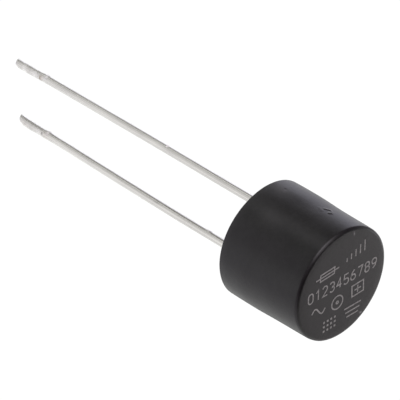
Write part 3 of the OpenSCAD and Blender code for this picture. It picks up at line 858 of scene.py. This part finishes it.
# ---------------------------------------------------------------- floor
me = bpy.data.meshes.new("floor")
me.from_pydata([(-3, -3, -0.0247), (3, -3, -0.0247), (3, 3, -0.0247), (-3, 3, -0.0247)], [], [(0, 1, 2, 3)])
floor = bpy.data.objects.new("floor", me)
scene.collection.objects.link(floor)
fm = bpy.data.materials.new("pale_floor")
fm.use_nodes = True
nt = fm.node_tree
nt.nodes.clear()
out = node(nt, "ShaderNodeOutputMaterial")
em = node(nt, "ShaderNodeEmission")
em.inputs["Color"].default_value = (1, 1, 1, 1)
em.inputs["Strength"].default_value = 1.04
tr = node(nt, "ShaderNodeBsdfTransparent")
geo = node(nt, "ShaderNodeNewGeometry")
mx = node(nt, "ShaderNodeMixShader")
nt.links.new(geo.outputs["Backfacing"], mx.inputs[0])
nt.links.new(em.outputs[0], mx.inputs[1])
nt.links.new(tr.outputs[0], mx.inputs[2])
nt.links.new(mx.outputs[0], out.inputs["Surface"])
me.materials.append(fm)
for flag in ("visible_diffuse", "visible_glossy", "visible_transmission", "visible_volume_scatter", "visible_shadow"):
    setattr(floor, flag, False)

# ---------------------------------------------------------------- studio light
# Soft areas of light and dark round the object: (direction, sharpness, colour). Overhead is +X, the white table lies towards -X.
AMBIENT = (0.248, 0.202, 0.241)
LOBES = [
    ((0.978, 0.148, 0.150), 15.2, (4.666, 4.426, 4.732)),
    ((0.185, -0.826, -0.532), 34.8, (0.831, 0.825, 1.048)),
    ((-0.239, -0.193, -0.952), 3.9, (1.608, 1.734, 1.614)),
    ((-0.725, -0.638, 0.259), 16.0, (1.319, 1.263, 1.262)),
    ((-0.993, 0.121, 0.006), 22.0, (1.174, 1.250, 1.212)),
    ((-0.020, 0.161, -0.987), 13.5, (-1.162, -1.208, -0.954)),
    ((0.768, 0.070, 0.637), 23.3, (1.953, 1.817, 1.941)),
    ((-0.446, 0.347, -0.825), 23.7, (0.901, 0.890, 0.923)),
    ((-0.375, -0.320, 0.870), 3.4, (-0.772, -0.731, -0.762)),
    ((0.292, -0.211, 0.933), 35.7, (2.377, 2.277, 2.326)),
    ((-0.655, 0.721, 0.226), 17.3, (1.077, 1.060, 1.095)),
    ((0.588, 0.453, -0.670), 17.7, (0.809, 0.800, 0.816)),
    ((0.000, 0.851, -0.526), 14.7, (0.676, 0.702, 0.668)),
    ((-0.387, -0.842, -0.376), 35.8, (1.110, 1.082, 1.187)),
    ((-0.211, 0.335, -0.918), 28.4, (-0.905, -0.990, -0.779)),
    ((-0.564, -0.640, -0.523), 30.7, (-1.280, -1.246, -1.311)),
    ((0.861, 0.014, -0.508), 63.7, (1.575, 1.529, 1.593)),
    ((-0.077, -0.938, 0.338), 20.6, (0.763, 0.794, 0.805)),
    ((-0.694, -0.033, 0.719), 18.0, (1.249, 1.240, 1.186)),
    ((0.965, 0.166, -0.203), 5.8, (-1.000, -0.913, -1.032)),
]
# near diffusers, 120 mm from the closed end: (direction, colour)
PANELS = [
    ((-0.866, -0.249, 0.434), (0.241, 0.295, 0.249)),
    ((-0.607, -0.777, 0.165), (0.607, 0.625, 0.616)),
    ((-0.395, -0.822, 0.411), (1.104, 1.114, 1.107)),
]
for i, (direction, colour) in enumerate(PANELS):
    light = bpy.data.lights.new("diffuser_%d" % i, "AREA")
    light.shape = "SQUARE"
    light.size = 0.05
    light.color = colour
    light.energy = math.pi * 0.05 * 0.05
    lamp = bpy.data.objects.new("diffuser_%d" % i, light)
    scene.collection.objects.link(lamp)
    d = Vector(direction).normalized()
    lamp.location = Vector((0, 0, 0.0077)) + 0.12 * d
    lamp.rotation_euler = (-d).to_track_quat("-Z", "Y").to_euler()

world = bpy.data.worlds.new("studio")
scene.world = world
world.use_nodes = True
nt = world.node_tree
nt.nodes.clear()
out = node(nt, "ShaderNodeOutputWorld")
tc = node(nt, "ShaderNodeTexCoord")
total = None
for direction, sharp, colour in LOBES:
    d = Vector(direction).normalized()
    dot = node(nt, "ShaderNodeVectorMath", operation="DOT_PRODUCT")
    dot.inputs[1].default_value = d
    nt.links.new(tc.outputs["Generated"], dot.inputs[0])
    e = math_node(nt, "EXPONENT", math_node(nt, "MULTIPLY", math_node(nt, "SUBTRACT", dot.outputs["Value"], 1.0), float(sharp)))
    sc = node(nt, "ShaderNodeVectorMath", operation="SCALE")
    sc.inputs[0].default_value = colour
    nt.links.new(e, sc.inputs["Scale"])
    if total is None:
        add = node(nt, "ShaderNodeVectorMath", operation="ADD")
        add.inputs[0].default_value = AMBIENT
        nt.links.new(sc.outputs[0], add.inputs[1])
    else:
        add = node(nt, "ShaderNodeVectorMath", operation="ADD")
        nt.links.new(total, add.inputs[0])
        nt.links.new(sc.outputs[0], add.inputs[1])
    total = add.outputs[0]
top = node(nt, "ShaderNodeVectorMath", operation="MAXIMUM")
top.inputs[1].default_value = (0.01, 0.01, 0.01)
nt.links.new(total, top.inputs[0])
bg = node(nt, "ShaderNodeBackground")
nt.links.new(top.outputs[0], bg.inputs["Color"])
white = node(nt, "ShaderNodeBackground")
white.inputs["Color"].default_value = (1, 1, 1, 1)
lp = node(nt, "ShaderNodeLightPath")
mx = node(nt, "ShaderNodeMixShader")
nt.links.new(lp.outputs["Is Camera Ray"], mx.inputs[0])
nt.links.new(bg.outputs[0], mx.inputs[1])
nt.links.new(white.outputs[0], mx.inputs[2])
nt.links.new(mx.outputs[0], out.inputs["Surface"])

scene.view_settings.view_transform = "Standard"
scene.view_settings.look = "None"
